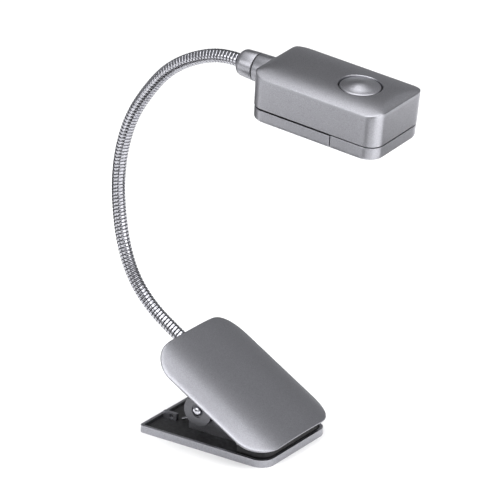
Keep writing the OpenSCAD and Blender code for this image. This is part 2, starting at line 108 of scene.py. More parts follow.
# Gaps over the lower shells and between them, and the corner radius where they meet
DOOR_GAP = 0.75
FRONT_GAP = 0.45
DOOR_SPLIT = 0.4
CUT_R = 0.35
WINDOW_X = (41.6, 54.4)
WINDOW_W = 18
WINDOW_R = 1.05
EMITTER_X = 48
BOARD_Z = 11.8
SHELL_SCREWS = [(42.6, -12.9), (42.6, 12.9)]
BOARD_SCREWS = [(29.9, -12.4), (29.9, 12.4)]
COLLAR_Z = 13.3
COLLAR_L = 7
COLLAR_R = 6
COLLAR_SEAM_R = 5.75
FERRULE_L = 8
FERRULE_R = 5.4
SPIGOT_R = 3
WASHER_T = 0.5
# How far the head is turned on its swivel
HEAD_ROLL = 4.2


# ---- Frames of the moving assemblies ----

def turn_y(degrees):
    return Matrix.Rotation(math.radians(degrees), 4, "Y")


def at(point):
    return Matrix.Translation(Vector(point) * MM)


def along(degrees):
    """A unit step in the XZ plane, at an angle above +X."""
    a = math.radians(degrees)
    return Vector((math.cos(a), 0, math.sin(a)))


def heading_of(step):
    """The angle above +X of a step in the XZ plane, in degrees."""
    return math.degrees(math.atan2(step[2], step[0]))


def neck_route():
    """Bending points of the neck in the row frame, in mm, and the heading after each. The points
    are the frame's joints, and the last heading is the axis that the head turns on."""
    joints = {joint["name"]: joint for joint in frame["joints"]}
    points = [Vector(joints[f"neck_bend_{k}"]["pos_m"]) / MM for k in range(1, NECK_BENDS + 1)]
    headings = [heading_of(after - point) for point, after in zip(points, points[1:])]
    return points, headings + [heading_of(joints["head_swivel"]["axis"])]


BENDS, HEADINGS = neck_route()
HEAD_PITCH = -HEADINGS[-1]
MOUTH = BENDS[-1] + along(-HEAD_PITCH) * TIP_TO_MOUTH
ROW = Matrix.Identity(4)
LEVER = at(LEVER_ORIGIN) @ turn_y(LEVER_TILT)
SWIVEL = at(MOUTH) @ turn_y(HEAD_PITCH) @ at((FERRULE_L + COLLAR_L + WASHER_T, 0, 0))
HEAD = SWIVEL @ Matrix.Rotation(math.radians(HEAD_ROLL), 4, "X") @ at((0, 0, -COLLAR_Z))


# ---- Materials ----

class Finish:
    """A Principled material whose detail comes from noise in the object's own coordinates."""

    def __init__(self, name, metallic=0.0, ior=1.45, coat=0.0, coat_rough=0.1, transmission=0.0):
        self.material = bpy.data.materials.new(name)
        self.material.use_nodes = True
        self.nodes = self.material.node_tree.nodes
        self.links = self.material.node_tree.links
        self.shader = self.nodes["Principled BSDF"]
        self.shader.inputs["Metallic"].default_value = metallic
        self.shader.inputs["IOR"].default_value = ior
        self.shader.inputs["Coat Weight"].default_value = coat
        self.shader.inputs["Coat Roughness"].default_value = coat_rough
        self.shader.inputs["Transmission Weight"].default_value = transmission
        self.place = self.nodes.new("ShaderNodeTexCoord").outputs["Object"]

    def noise(self, size_mm, detail=2.0, stretch=(1, 1, 1)):
        """Noise whose features are about size_mm across."""
        mapping = self.nodes.new("ShaderNodeMapping")
        mapping.inputs["Scale"].default_value = stretch
        self.links.new(self.place, mapping.inputs["Vector"])
        noise = self.nodes.new("ShaderNodeTexNoise")
        noise.inputs["Scale"].default_value = 1 / (size_mm * MM)
        noise.inputs["Detail"].default_value = detail
        self.links.new(mapping.outputs["Vector"], noise.inputs["Vector"])
        return noise.outputs["Fac"]

    def colour(self, dark, light, field, spread=(0.35, 0.65)):
        """Runs the base colour from dark to light with a field."""
        ramp = self.nodes.new("ShaderNodeValToRGB")
        ramp.color_ramp.elements[0].position = spread[0]
        ramp.color_ramp.elements[1].position = spread[1]
        ramp.color_ramp.elements[0].color = (*dark, 1)
        ramp.color_ramp.elements[1].color = (*light, 1)
        self.links.new(field, ramp.inputs["Fac"])
        self.links.new(ramp.outputs["Color"], self.shader.inputs["Base Color"])
        return self

    def rough(self, low, high, field):
        spread = self.nodes.new("ShaderNodeMapRange")
        spread.inputs["From Min"].default_value = 0.3
        spread.inputs["From Max"].default_value = 0.7
        spread.inputs["To Min"].default_value = low
        spread.inputs["To Max"].default_value = high
        self.links.new(field, spread.inputs["Value"])
        self.links.new(spread.outputs["Result"], self.shader.inputs["Roughness"])
        return self

    def bump(self, strength, height_mm, field):
        bump = self.nodes.new("ShaderNodeBump")
        bump.inputs["Strength"].default_value = strength
        bump.inputs["Distance"].default_value = height_mm * MM
        self.links.new(field, bump.inputs["Height"])
        self.links.new(bump.outputs["Normal"], self.shader.inputs["Normal"])
        return self


def grey(value, blue=1.08):
    """A grey with a slight blue cast."""
    return (value, value, min(value * blue, 1))


def metallic_paint(name, dark, light, low, high):
    """Satin paint with fine metal flakes under a thin clear coat."""
    finish = Finish(name, metallic=0.96, coat=0.1, coat_rough=0.3)
    flakes = finish.noise(0.3, 3)
    finish.colour(dark, light, flakes)
    finish.rough(low, high, finish.noise(0.5, 2))
    return finish.bump(0.12, 0.03, flakes).material


def moulded_plastic(name, dark, light, low, high):
    finish = Finish(name)
    grain = finish.noise(0.4, 3)
    finish.colour(dark, light, grain)
    finish.rough(low, high, finish.noise(2.5, 2))
    return finish.bump(0.2, 0.03, grain).material


def bare_metal(name, dark, light, low, high):
    finish = Finish(name, metallic=1.0)
    finish.colour(dark, light, finish.noise(1.6, 3))
    scuffs = finish.noise(0.3, 3)
    finish.rough(low, high, scuffs)
    return finish.bump(0.06, 0.01, scuffs).material


def rubber(name):
    finish = Finish(name)
    pores = finish.noise(0.35, 4)
    finish.colour(grey(0.009), grey(0.022), pores)
    finish.rough(0.5, 0.7, finish.noise(1.5, 2))
    return finish.bump(0.5, 0.06, pores).material


def clear_window(name):
    finish = Finish(name, ior=1.49, transmission=0.9)
    haze = finish.noise(1.2, 2)
    finish.colour(grey(0.86), grey(0.93), haze)
    return finish.rough(0.12, 0.22, haze).material


def warm_resin(name):
    finish = Finish(name, ior=1.5, transmission=0.35)
    swirl = finish.noise(0.9, 2)
    finish.colour((0.88, 0.83, 0.52), (0.94, 0.9, 0.66), swirl)
    return finish.rough(0.1, 0.2, swirl).material


def solder_mask(name):
    """Green board with the faint relief of its copper traces."""
    finish = Finish(name, coat=0.4, coat_rough=0.15)
    traces = finish.noise(1.1, 0, (1, 0.2, 1))
    finish.colour((0.008, 0.09, 0.035), (0.02, 0.17, 0.07), traces, (0.48, 0.52))
    finish.rough(0.3, 0.45, finish.noise(0.6, 2))
    return finish.bump(0.3, 0.04, traces).material


SILVER = metallic_paint("silver_paint", grey(0.3), grey(0.42), 0.31, 0.39)
DARK = metallic_paint("dark_silver_paint", grey(0.2), grey(0.27), 0.4, 0.5)
RUBBER = rubber("grip_rubber")
STEEL = bare_metal("bright_steel", grey(0.62), grey(0.75), 0.14, 0.26)
SPRING = bare_metal("spring_steel", grey(0.2), grey(0.34), 0.18, 0.3)
CHROME = bare_metal("chrome_wire", grey(0.4), grey(0.54), 0.08, 0.16)
# Painted shade: a dark metal for the faces deep in the neck's grooves, in place of the shade that
# falls there
GROOVE_SHADE = bare_metal("groove_painted_shade", grey(0.025), grey(0.06), 0.3, 0.42)
BLACK = moulded_plastic("black_plastic", grey(0.012), grey(0.028), 0.35, 0.5)
WINDOW = clear_window("clear_window")
MIRROR = bare_metal("reflector_chrome", grey(0.8), grey(0.88), 0.05, 0.12)
RESIN = warm_resin("emitter_resin")
BOARD = solder_mask("board_green")
CREAM = moulded_plastic("cream_plastic", (0.62, 0.55, 0.36), (0.72, 0.65, 0.45), 0.35, 0.5)
CELL = bare_metal("cell_can", grey(0.55), grey(0.68), 0.2, 0.34)
BRASS = bare_metal("contact_metal", (0.6, 0.47, 0.2), (0.76, 0.62, 0.32), 0.2, 0.34)


# ---- Mesh helpers ----

SHARP_ANGLE = 35


def make(name, points, faces, place, material):
    """A smooth-shaded mesh from points in mm in an assembly's frame, sharp at its real edges."""
    mesh = bpy.data.meshes.new(name)
    mesh.from_pydata([place @ (Vector(p) * MM) for p in points], [], faces)
    mesh.validate()
    piece = bpy.data.objects.new(name, mesh)
    bpy.context.scene.collection.objects.link(piece)
    mesh.materials.append(material)
    tidy_mesh(piece)
    return piece


def tidy_mesh(piece):
    """Joins doubled points, turns the faces outwards and sets the shading."""
    b = bmesh.new()
    b.from_mesh(piece.data)
    bmesh.ops.remove_doubles(b, verts=b.verts, dist=1e-7)
    bmesh.ops.recalc_face_normals(b, faces=b.faces)
    b.to_mesh(piece.data)
    b.free()
    piece.data.polygons.foreach_set("use_smooth", [True] * len(piece.data.polygons))
    piece.data.set_sharp_from_angle(angle=math.radians(SHARP_ANGLE))


def loft(rings, closed=False):
    """Points and faces of a skin through rings of equal count. A closed loft's last ring meets its
    first; an open one is capped at both ends."""
    n = len(rings[0])
    points = [p for ring in rings for p in ring]
    spans = len(rings) if closed else len(rings) - 1
    faces = []
    for i in range(spans):
        a, b = i * n, (i + 1) % len(rings) * n
        for k in range(n):
            faces.append((a + k, a + (k + 1) % n, b + (k + 1) % n, b + k))
    if not closed:
        for first, order in ((0, -1), (len(rings) - 1, 1)):
            ring = rings[first]
            points.append(sum((Vector(p) for p in ring), Vector()) / n)
            centre = len(points) - 1
            for k in range(n):
                edge = (first * n + k, first * n + (k + 1) % n)
                faces.append((edge[0], edge[1], centre)[::order])
    return points, faces


def turned(profile, sides=72, x_axis=False):
    """Rings of a closed profile of (radius, height) turned round Z, or round X."""
    rings = []
    for r, h in profile:
        angles = [2 * math.pi * k / sides for k in range(sides)]
        if x_axis:
            rings.append([(h, r * math.cos(a), r * math.sin(a)) for a in angles])
        else:
            rings.append([(r * math.cos(a), r * math.sin(a), h) for a in angles])
    return rings


def arc(cx, cy, r, start, end, steps):
    """Points of an arc in a profile, by degrees."""
    angles = [math.radians(start + (end - start) * i / steps) for i in range(steps + 1)]
    return [(cx + r * math.cos(a), cy + r * math.sin(a)) for a in angles]


def outline(x0, x1, half, r_front, r_back, inset=0.0, corner=12, side=10):
    """A rounded rectangle in plan as a ring of (x, y). Rings of any size have matching points."""
    x0, x1, half = x0 + inset, x1 - inset, half - inset
    rf, rb = max(r_front - inset, 0.05), max(r_back - inset, 0.05)
    corners = [
        (x1 - rf, half - rf, rf, 0),
        (x0 + rb, half - rb, rb, 90),
        (x0 + rb, -half + rb, rb, 180),
        (x1 - rf, -half + rf, rf, 270),
    ]
    ring = []
    for i, (cx, cy, r, start) in enumerate(corners):
        bend = arc(cx, cy, r, start, start + 90, corner)
        nx, ny, nr, nstart = corners[(i + 1) % 4]
        after = arc(nx, ny, nr, nstart, nstart, 1)[0]
        ring += bend
        last = bend[-1]
        for k in range(1, side):
            t = k / side
            ring.append((last[0] + (after[0] - last[0]) * t, last[1] + (after[1] - last[1]) * t))
    return ring


def lifted(ring, height):
    """A plan ring raised to a height, which may be a function of (x, y)."""
    rise = height if callable(height) else lambda x, y: height
    return [(x, y, rise(x, y)) for x, y in ring]


def toward(ring, target, t):
    """A ring part of the way from one plan ring to another."""
    return [(a[0] + (b[0] - a[0]) * t, a[1] + (b[1] - a[1]) * t) for a, b in zip(ring, target)]


def circle_facing(ring, cx, cy, r):
    """A circle whose points lie in the directions of a plan ring's points."""
    out = []
    for x, y in ring:
        a = math.atan2(y - cy, x - cx)
        out.append((cx + r * math.cos(a), cy + r * math.sin(a)))
    return out


def applied(piece):
    """Applies a piece's modifiers to its mesh."""
    graph = bpy.context.evaluated_depsgraph_get()
    piece.data = bpy.data.meshes.new_from_object(piece.evaluated_get(graph))
    piece.modifiers.clear()
    return piece


def combine(piece, other, operation):
    """Adds another solid to a piece, or cuts it away, and removes the other."""
    boolean = piece.modifiers.new("combine", "BOOLEAN")
    boolean.operation = operation
    boolean.solver = "EXACT"
    boolean.object = other
    bpy.context.view_layer.update()
    applied(piece)
    bpy.data.objects.remove(other)
    tidy_mesh(piece)
    return piece


def joined(name, pieces):
    """One piece from several separate ones."""
    b = bmesh.new()
    for piece in pieces:
        b.from_mesh(piece.data)
    first = pieces[0]
    b.to_mesh(first.data)
    b.free()
    for piece in pieces[1:]:
        bpy.data.objects.remove(piece)
    first.name = name
    tidy_mesh(first)
    return first


def soften(piece, width_mm, segments=3, angle=32):
    """Rounds a piece's real edges with a bevel."""
    bevel = piece.modifiers.new("edges", "BEVEL")
    bevel.width = width_mm * MM
    bevel.segments = segments
    bevel.limit_method = "ANGLE"
    bevel.angle_limit = math.radians(angle)
    bevel.harden_normals = True
    return piece


def fit(piece, body, slot, *nodes):
    """Puts a piece on its body, in place of the CAD nodes that it details."""
    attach(piece, body)
    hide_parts(*nodes)
    return piece


# ---- Camera, lights and floor ----

ROOM_STRENGTH = 0.29
BACKDROP_STRENGTH = 0.92
FLOOR_HALF = 1.1
CAMERA_AZIMUTH = 32.83
CAMERA_ELEVATION = 21.92
CAMERA_ROLL = -1.86
CAMERA_DISTANCE = 1669
CAMERA_LENS = 294.4
# The middle of the picture: this far right of and above the middle of the base's back edge
AIM_FROM = Vector((-30.5, 0, 0))
AIM_RIGHT = 31.938
AIM_UP = 66.483


def make_camera():
    """The long lens, the height and the slight roll of the reference view."""
    angles = (CAMERA_AZIMUTH, CAMERA_ELEVATION, CAMERA_ROLL)
    azimuth, elevation, roll = (math.radians(a) for a in angles)
    right = Vector((math.cos(azimuth), math.sin(azimuth), 0))
    back = Vector((
        math.sin(azimuth) * math.cos(elevation),
        -math.cos(azimuth) * math.cos(elevation),
        math.sin(elevation),
    ))
    up = back.cross(right)
    x_axis = math.cos(roll) * right - math.sin(roll) * up
    y_axis = math.sin(roll) * right + math.cos(roll) * up
    aim = AIM_FROM + AIM_RIGHT * x_axis + AIM_UP * y_axis
    camera = bpy.data.objects.new("camera", bpy.data.cameras.new("camera"))
    bpy.context.scene.collection.objects.link(camera)
    turn = Matrix((x_axis, y_axis, back)).transposed().to_4x4()
    camera.matrix_world = at(aim + CAMERA_DISTANCE * back) @ turn
    camera.data.lens = CAMERA_LENS
    camera.data.sensor_width = 36
    camera.data.clip_start = 0.01
    camera.data.clip_end = 20
    bpy.context.scene.camera = camera


def softbox(name, place, size, radiance, facing=None):
    """A rectangular light at a place in metres, unseen by the camera itself. It faces the lamp
    unless a direction is given."""
    light = bpy.data.lights.new(name, "AREA")
    light.shape = "RECTANGLE"
    light.size, light.size_y = size
    light.energy = radiance * math.pi * size[0] * size[1]
    box = bpy.data.objects.new(name, light)
    bpy.context.scene.collection.objects.link(box)
    box.location = place
    away = Vector(place) - Vector((0, 0, 0.08)) if facing is None else -Vector(facing)
    box.rotation_mode = "QUATERNION"
    box.rotation_quaternion = away.to_track_quat("Z", "Y")
    box.visible_camera = False
    return box


def black_card(name, place, corners):
    """A matt black card for the paint and the chrome to reflect. It neither shows nor takes light
    from the floor."""
    mesh = bpy.data.meshes.new(name)
    mesh.from_pydata([place @ Vector(c) for c in corners], [], [(0, 1, 2, 3)])
    card = bpy.data.objects.new(name, mesh)
    bpy.context.scene.collection.objects.link(card)
    felt = Finish(name)
    felt.colour(grey(0.02, 1), grey(0.03, 1), felt.noise(4, 2)).rough(0.9, 1.0, felt.noise(9, 2))
    mesh.materials.append(felt.material)
    card.visible_camera = False
    card.visible_shadow = False
    card.visible_diffuse = False


def floor_card(name, centre, size, turn):
    """A black card lying on the floor, beside the camera's view."""
    u, v = size[0] / 2, size[1] / 2
    place = Matrix.Translation((*centre, 0.0005)) @ Matrix.Rotation(math.radians(turn), 4, "Z")
    black_card(name, place, [(-u, -v, 0), (u, -v, 0), (u, v, 0), (-u, v, 0)])


def make_world():
    """Dim surroundings for the paint and chrome to reflect, behind a plain pale backdrop."""
    world = bpy.data.worlds.new("studio")
    bpy.context.scene.world = world
    world.use_nodes = True
    nodes, links = world.node_tree.nodes, world.node_tree.links
    room = nodes["Background"]
    room.inputs["Color"].default_value = (0.97, 0.98, 1, 1)
    room.inputs["Strength"].default_value = ROOM_STRENGTH
    backdrop = nodes.new("ShaderNodeBackground")
    backdrop.inputs["Color"].default_value = (1, 1, 1, 1)
    backdrop.inputs["Strength"].default_value = BACKDROP_STRENGTH
    chosen = nodes.new("ShaderNodeMixShader")
    links.new(nodes.new("ShaderNodeLightPath").outputs["Is Camera Ray"], chosen.inputs["Fac"])
    links.new(room.outputs["Background"], chosen.inputs[1])
    links.new(backdrop.outputs["Background"], chosen.inputs[2])
    links.new(chosen.outputs["Shader"], nodes["World Output"].inputs["Surface"])


def make_stage():
    """White floor, the lights, and the black cards that darken parts of the reflections."""
    corners = [(-1, -1, 0), (1, -1, 0), (1, 1, 0), (-1, 1, 0)]
    mesh = bpy.data.meshes.new("floor")
    mesh.from_pydata([Vector(p) * FLOOR_HALF for p in corners], [], [(0, 1, 2, 3)])
    floor = bpy.data.objects.new("floor", mesh)
    bpy.context.scene.collection.objects.link(floor)
    paper = Finish("studio_paper")
    paper.colour(grey(0.94, 1), grey(0.95, 1), paper.noise(300, 2))
    paper.rough(0.9, 1.0, paper.noise(100, 2))
    paper.shader.inputs["Specular IOR Level"].default_value = 0.1
    mesh.materials.append(paper.material)
    make_world()
    softbox("overhead", (0.4, -0.45, 1.05), (1.5, 1.8), 2.7, facing=(0, 0, -1))
    softbox("front", (-0.45, -1.4, 0.65), (1.1, 0.7), 2.6)
    softbox("right", (0.5, -0.05, 0.07), (0.3, 0.14), 4.0)
    fill = softbox("floor_fill", (-0.4, 1.2, 1.5), (3.4, 2.2), 0.85, facing=(0, 0, -1))
    fill.visible_glossy = False
    floor_card("camera_side", (0.3, -0.38), (0.22, 0.4), turn=33)
    floor_card("neck_side", (0.1, -0.31), (0.11, 0.32), turn=33)
    floor_card("far_left", (-0.28, 0.14), (0.3, 0.5), turn=-27)
    floor_card("near_left", (-0.07, -0.14), (0.18, 0.13), turn=33)
    floor_card("far_right", (0.165, 0.185), (0.2, 0.17), turn=33)
    # A card that leans over the lamp from above and behind, on its left
    slant = [(-0.55, 0.47, 0.42), (-0.1, 0.47, 0.42), (-0.1, 0.3, 0.62), (-0.55, 0.3, 0.62)]
    black_card("above_left", ROW, slant)
    bpy.context.scene.view_settings.view_transform = "Standard"


# ---- Lamp head ----

def head_top(x, y):
    """Height of the head's pillow-shaped top: two crowns, blended where they cross."""
    off_x = min(abs(x - HEAD_L / 2) / (HEAD_L / 2), 1)
    off_y = min(abs(y) / (HEAD_W / 2), 1)
    across = HEAD_H + HEAD_CROWN * (1 - off_y ** CROWN_POWER)
    lengthways = HEAD_END_H + HEAD_END_CROWN * (1 - off_x ** END_POWER)
    blend = 0.16
    return (across + lengthways) / 2 - math.hypot((across - lengthways) / 2, blend)


def head_ring(inset):
    return outline(0, HEAD_L, HEAD_W / 2, HEAD_R, HEAD_R, inset)


def make_head_shell():
    """Upper shell: button hole, pillow top, drafted side walls and the walls' inner faces."""
    edge_r, draft, lip_w = 0.32, 0.28, 0.3
    hole_r = CAP_R + BUTTON_GAP
    hole = circle_facing(head_ring(0), BUTTON_X, 0, hole_r)
    lip = circle_facing(head_ring(0), BUTTON_X, 0, hole_r + lip_w)
    rings = [lifted(hole, lambda x, y: head_top(x, y) - 0.42)]
    rings.append(lifted(toward(hole, lip, 0.55), lambda x, y: head_top(x, y) - 0.12))
    top_edge = head_ring(edge_r)
    steps = 26
    for i in range(steps + 1):
        rings.append(lifted(toward(lip, top_edge, i / steps), head_top))
    for a in (18, 36, 54, 72, 90):
        a = math.radians(a)
        rim = head_ring(edge_r * (1 - math.sin(a)))
        rings.append(lifted(rim, lambda x, y: head_top(x, y) - edge_r * (1 - math.cos(a))))
    wall_h = HEAD_H - edge_r - SEAM_Z
    for t in (0.05, 0.35, 0.65, 0.95):
        rings.append(lifted(head_ring(draft * t), HEAD_H - edge_r - t * wall_h))
    rings.append(lifted(head_ring(draft), SEAM_Z + 0.15))
    rings.append(lifted(head_ring(draft + 0.15), SEAM_Z))
    rings.append(lifted(head_ring(WALL), SEAM_Z))
    rings.append(lifted(head_ring(WALL + 0.2), HEAD_H - 2.4))
    ceiling = head_ring(WALL + 1)
    for i in range(7):
        rings.append(lifted(toward(ceiling, hole, i / 6), lambda x, y: head_top(x, y) - WALL))
    return make("upper_housing", *loft(rings, closed=True), HEAD, SILVER)


def make_collar():
    """Round neck of the upper shell that the ferrule turns against."""
    edge = 0.25
    bore = SPIGOT_R + 0.06
    profile = [(bore, 2), (bore, -COLLAR_L), (COLLAR_SEAM_R - edge, -COLLAR_L)]
    profile += arc(COLLAR_SEAM_R - edge, -COLLAR_L + edge, edge, -90, 0, 4)[1:]
    profile += [(COLLAR_R, 0.3), (COLLAR_R, 2)]
    return make("collar", *loft(turned(profile, x_axis=True), closed=True), SWIVEL, SILVER)


def make_ferrule():
    """Turned socket on the end of the neck, with its rounded shoulder."""
    back = -(FERRULE_L + COLLAR_L + WASHER_T)
    front = back + FERRULE_L
    shoulder, edge = 2.6, 0.25
    profile = [(NECK_R + 0.05, back + 0.3), (NECK_R + 0.3, back)]
    profile += arc(FERRULE_R - shoulder, back + shoulder, shoulder, -78, 0, 10)
    profile += [(COLLAR_SEAM_R, front - edge)]
    profile += arc(COLLAR_SEAM_R - edge, front - edge, edge, 0, 90, 4)
    spigot_end, wire_bore, socket_end = 3.4, 1.6, back + TIP_DEPTH + 1
    profile += [(SPIGOT_R, front), (SPIGOT_R, spigot_end), (wire_bore, spigot_end)]
    profile += [(wire_bore, socket_end), (NECK_R + 0.05, socket_end)]
    return make("ferrule", *loft(turned(profile, x_axis=True), closed=True), SWIVEL, SILVER)


def make_button():
    """Cap with a bell-shaped dome, a rounded rim and a flange that keeps it under the shell."""
    rim_z, edge, flange_z = HEAD_H + HEAD_CROWN - 0.4, 0.5, BUTTON_FLANGE_Z
    post_r, skirt_r, ceiling = 2.4, BUTTON_R - 1.3, BUTTON_FLANGE_Z + 1.6
    profile = [(post_r, flange_z - 0.4), (post_r, ceiling), (skirt_r, ceiling)]
    profile += [(skirt_r, flange_z), (BUTTON_FLANGE_R, flange_z), (BUTTON_FLANGE_R, flange_z + 0.5)]
    profile += [(CAP_R, flange_z + 0.7), (CAP_R, rim_z - edge)]
    profile += arc(CAP_R - edge, rim_z - edge, edge, 0, 72, 5)[1:]
    steps = 14
    for i in range(1, steps):
        r = (CAP_R - edge) * (1 - i / steps)
        profile.append((r, rim_z + BUTTON_DOME * (1 - (r / CAP_R) ** 2) ** 2))
    rings = turned(profile)
    return make("power_button_cap", *loft(rings), HEAD @ at((BUTTON_X, 0, 0)), SILVER)


def tray_rings(x0, x1, r_front, r_back, front_draft, back_draft, gap):
    """Rings of a lower shell from the centre of its underside, round its edge and into its inside."""
    half, top, bottom_r = HEAD_W / 2, SEAM_Z - gap, 1.2
    low_inset, top_inset, chamfer = 0.4, 0.33, 0.12
    plan = outline(x0, x1, half, r_front, r_back)

    def ring(inset, z):
        back, front = x0 + inset * back_draft, x1 - inset * front_draft
        return lifted(outline(back, front, half - inset, r_front, r_back), z)

    centre = toward(plan, [((x0 + x1) / 2, 0)] * len(plan), 0.96)
    rings = [lifted(centre, 0)]
    rings.append(lifted(toward(plan, centre, 0.5), 0))
    for a in (0, 20, 40, 60, 80, 90):
        a = math.radians(a)
        rings.append(ring(low_inset + bottom_r * (1 - math.sin(a)), bottom_r * (1 - math.cos(a))))
    for t in (0.1, 0.5, 0.9):
        inset = low_inset + (top_inset - low_inset) * t
        rings.append(ring(inset, bottom_r + (top - bottom_r) * t))
    rings.append(ring(top_inset, top - chamfer))
    rings.append(ring(top_inset + chamfer, top))
    rings.append(ring(WALL + 0.3, top))
    rings.append(ring(WALL + 0.7, WALL + 0.6))
    rings.append(ring(WALL + 1.4, WALL))
    return rings


def make_battery_door():
    """Lower shell under the cells."""
    rings = tray_rings(0, DOOR_L, CUT_R, HEAD_R, 0.0, 1.0, DOOR_GAP)
    return make("battery_cover", *loft(rings), HEAD, SILVER)


def prism(ring, z0, z1, place=HEAD):
    """An upright solid over a plan ring, for cutting and joining."""
    return make("prism", *loft([lifted(ring, z0), lifted(ring, z1)]), place, SILVER)


def disc(x, y, r, sides=48):
    angles = [2 * math.pi * k / sides for k in range(sides)]
    return [(x + r * math.cos(a), y + r * math.sin(a)) for a in angles]


def make_front_shell():
    """Lower shell at the light's end, with the window's opening and the screws' counterbores."""
    rings = tray_rings(DOOR_L + DOOR_SPLIT, HEAD_L, HEAD_R, CUT_R, 1.0, 0.0, FRONT_GAP)
    shell = make("front_cover", *loft(rings), HEAD, SILVER)
    boss_r, counterbore_r, screw_hole_r = 2.4, 2.0, 1.1
    for centre in SHELL_SCREWS:
        combine(shell, prism(disc(*centre, boss_r), WALL - 0.1, SEAM_Z - 0.2), "UNION")
        combine(shell, prism(disc(*centre, counterbore_r), -1, WALL + 0.1), "DIFFERENCE")
        combine(shell, prism(disc(*centre, screw_hole_r), -1, SEAM_Z + 1), "DIFFERENCE")
    opening = outline(*WINDOW_X, WINDOW_W / 2, WINDOW_R, WINDOW_R, -0.15)
    combine(shell, prism(opening, -1, WALL + 2), "DIFFERENCE")
    return soften(shell, 0.12, segments=2, angle=50)


def make_light_window():
    """Clear pane with rounded corners and a softened rim, and the flange that it is held by."""
    half = WINDOW_W / 2

    def ring(inset, z):
        return lifted(outline(*WINDOW_X, half, WINDOW_R, WINDOW_R, inset), z)

    face, back, top, flange = 0.3, WALL + 0.05, WALL + 0.75, 0.8
    rings = [ring(6, face), ring(3, face), ring(0.25, face), ring(0.07, face + 0.07)]
    rings += [ring(0, face + 0.25), ring(0, back), ring(-flange, back)]
    rings += [ring(-flange, top), ring(3, top), ring(6, top)]
    return make("window_pane", *loft(rings), HEAD, WINDOW)


def make_reflector():
    """Parabolic cup round the light."""
    low, high, r_low, r_high, thick = WALL + 1, WALL + 8.4, 5.4, 2.9, 0.6
    inner = []
    for i in range(13):
        t = i / 12
        inner.append((math.sqrt(r_low ** 2 + (r_high ** 2 - r_low ** 2) * t), low + (high - low) * t))
    outer = [(r + thick, z) for r, z in reversed(inner)]
    rings = turned(inner + outer)
    return make("reflector_cup", *loft(rings, closed=True), HEAD @ at((EMITTER_X, 0, 0)), MIRROR)


def make_screws(name, centres, place, z, head_r, head_h, shank_r, length):
    """Pan-head screws driven upwards from a height z, with cross recesses."""
    rim, under = head_r * 0.25, z + head_h
    profile = [(head_r * 0.3, z), (head_r - rim, z)]
    for a in (0.5, 1.05, 1.57):
        profile.append((head_r - rim + rim * math.sin(a), z + rim * (1 - math.cos(a))))
    profile += [(head_r, under), (shank_r, under)]
    profile += [(shank_r, z + length - 0.4), (shank_r * 0.5, z + length)]
    pieces = []
    for x, y in centres:
        spot = place @ at((x, y, 0))
        screw = make(name, *loft(turned(profile, sides=40)), spot, STEEL)
        for long, wide in ((0.62, 0.13), (0.13, 0.62)):
            slot = [(long, wide), (-long, wide), (-long, -wide), (long, -wide)]
            slot = [(u * head_r, v * head_r) for u, v in slot]
            combine(screw, prism(slot, z - 1, z + head_h * 0.6, spot), "DIFFERENCE")
        pieces.append(screw)
    return joined(name, pieces)


# ---- Lever ----

def lever_top(x, y):
    return LEVER_CROWN * (1 - min(abs(y) / (LEVER_W / 2), 1) ** LEVER_POWER)


def make_lever_cover():
    """Crowned plate of even thickness with a rounded rim above an edge that slopes inwards."""
    edge, undercut = 0.45, 0.5

    def ring(inset, drop):
        plan = outline(-LEVER_L, 0, LEVER_W / 2, LEVER_R, LEVER_R, inset)
        return lifted(plan, lambda x, y: lever_top(x, y) - drop)

    base = outline(-LEVER_L, 0, LEVER_W / 2, LEVER_R, LEVER_R, edge)
    core = [(x * 0.02 - LEVER_L / 2 * 0.98, y * 0.02) for x, y in base]
    steps = 26
    rings = []
    for i in range(steps + 1):
        rings.append(lifted(toward(core, base, i / steps), lever_top))
    for a in (22, 45, 68, 90):
        a = math.radians(a)
        rings.append(ring(edge * (1 - math.sin(a)), edge * (1 - math.cos(a))))
    for t in (0.1, 0.5, 0.9):
        rings.append(ring(undercut * t, edge + (COVER_T - edge) * t))
    rings.append(ring(undercut + 0.12, COVER_T))
    under = outline(-LEVER_L, 0, LEVER_W / 2, LEVER_R, LEVER_R, undercut + 0.12)
    for i in range(1, steps + 1):
        rings.append(lifted(toward(under, core, i / steps), lambda x, y: lever_top(x, y) - COVER_T))
    return make("lever_plate", *loft(rings), LEVER, SILVER)


# ---- Neck ----

def bend_curve(k):
    """Points and headings along the neck round bend k, from the middle of one link to the next."""
    half = NECK_PITCH / 2
    before = along(180 - LEVER_TILT if k == 0 else HEADINGS[k - 1])
    after = along(HEADINGS[k])
    start, bend = BENDS[k] - before * half, BENDS[k]
    end = bend + after * half
    n = int(NECK_PITCH * NECK_STEPS_PER_MM)
    samples = []
    for i in range(n + 1):
        t = i / n
        point = start * (1 - t) ** 2 + bend * 2 * t * (1 - t) + end * t * t
        slope = (bend - start) * (1 - t) + (end - bend) * t
        samples.append((point, slope.normalized()))
    return samples


def straight(start, direction, length):
    """Points and headings along a straight run of the neck."""
    n = int(length * NECK_STEPS_PER_MM)
    return [(start + direction * length * i / n, direction) for i in range(n + 1)]


def off_ridge(s, angle):
    """How far a place on the winding is from its ridge: 0 on the ridge, 1 in the groove."""
    return abs((s / WINDING_PITCH - angle / (2 * math.pi)) % 1 - 0.5) * 2


def winding(s, angle):
    """Radius of the wound strip: nearly flat ridges with narrow grooves between them."""
    x = off_ridge(s, angle)
    return NECK_R - RIDGE_CROWN * x ** 2 - GROOVE_DEPTH * x ** 8


